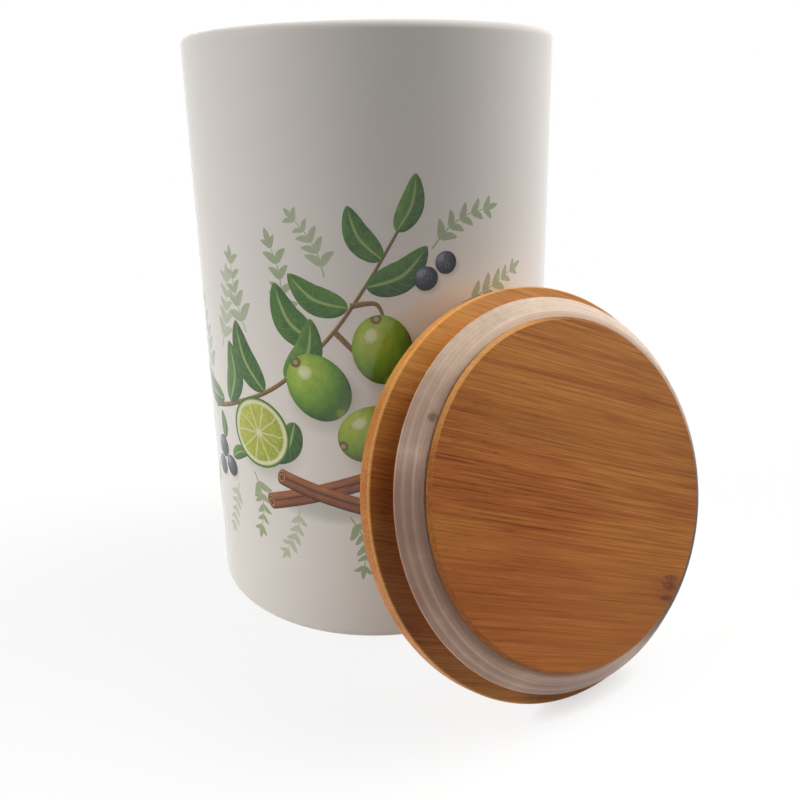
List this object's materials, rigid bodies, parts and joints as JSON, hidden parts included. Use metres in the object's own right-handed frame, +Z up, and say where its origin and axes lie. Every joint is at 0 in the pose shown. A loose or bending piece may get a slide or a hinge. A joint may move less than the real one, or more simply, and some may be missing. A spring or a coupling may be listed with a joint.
{
  "type": "ceramic storage jar",
  "caption": "Straight-sided glazed ceramic food jar with a printed front, and its bamboo lid with a finned silicone seal ring leaning against the wall.",
  "frame": {"origin": "on the jar's axis, at the underside of its base, which is the table", "axes": "+Z up along the jar's axis, -Y towards the printed front, the lid leaning at the front right"},
  "size_m": [0.135, 0.1417, 0.1566],
  "materials": {
    "glazed_porcelain": "white gloss glaze with a fired print on the front",
    "bamboo": "oiled caramel bamboo with fine straight fibre",
    "silicone": "milky translucent silicone rubber"
  },
  "bodies": {
    "jar": {"jar_body": "glazed_porcelain"},
    "lid": {"bamboo_lid": "bamboo", "seal_ring": "silicone"}
  },
  "joints": [
    {"name": "lid_lift", "type": "slide", "parent": "jar", "child": "lid", "axis": [0, 0, 1], "range_m": [0, 0.165]}
  ]
}
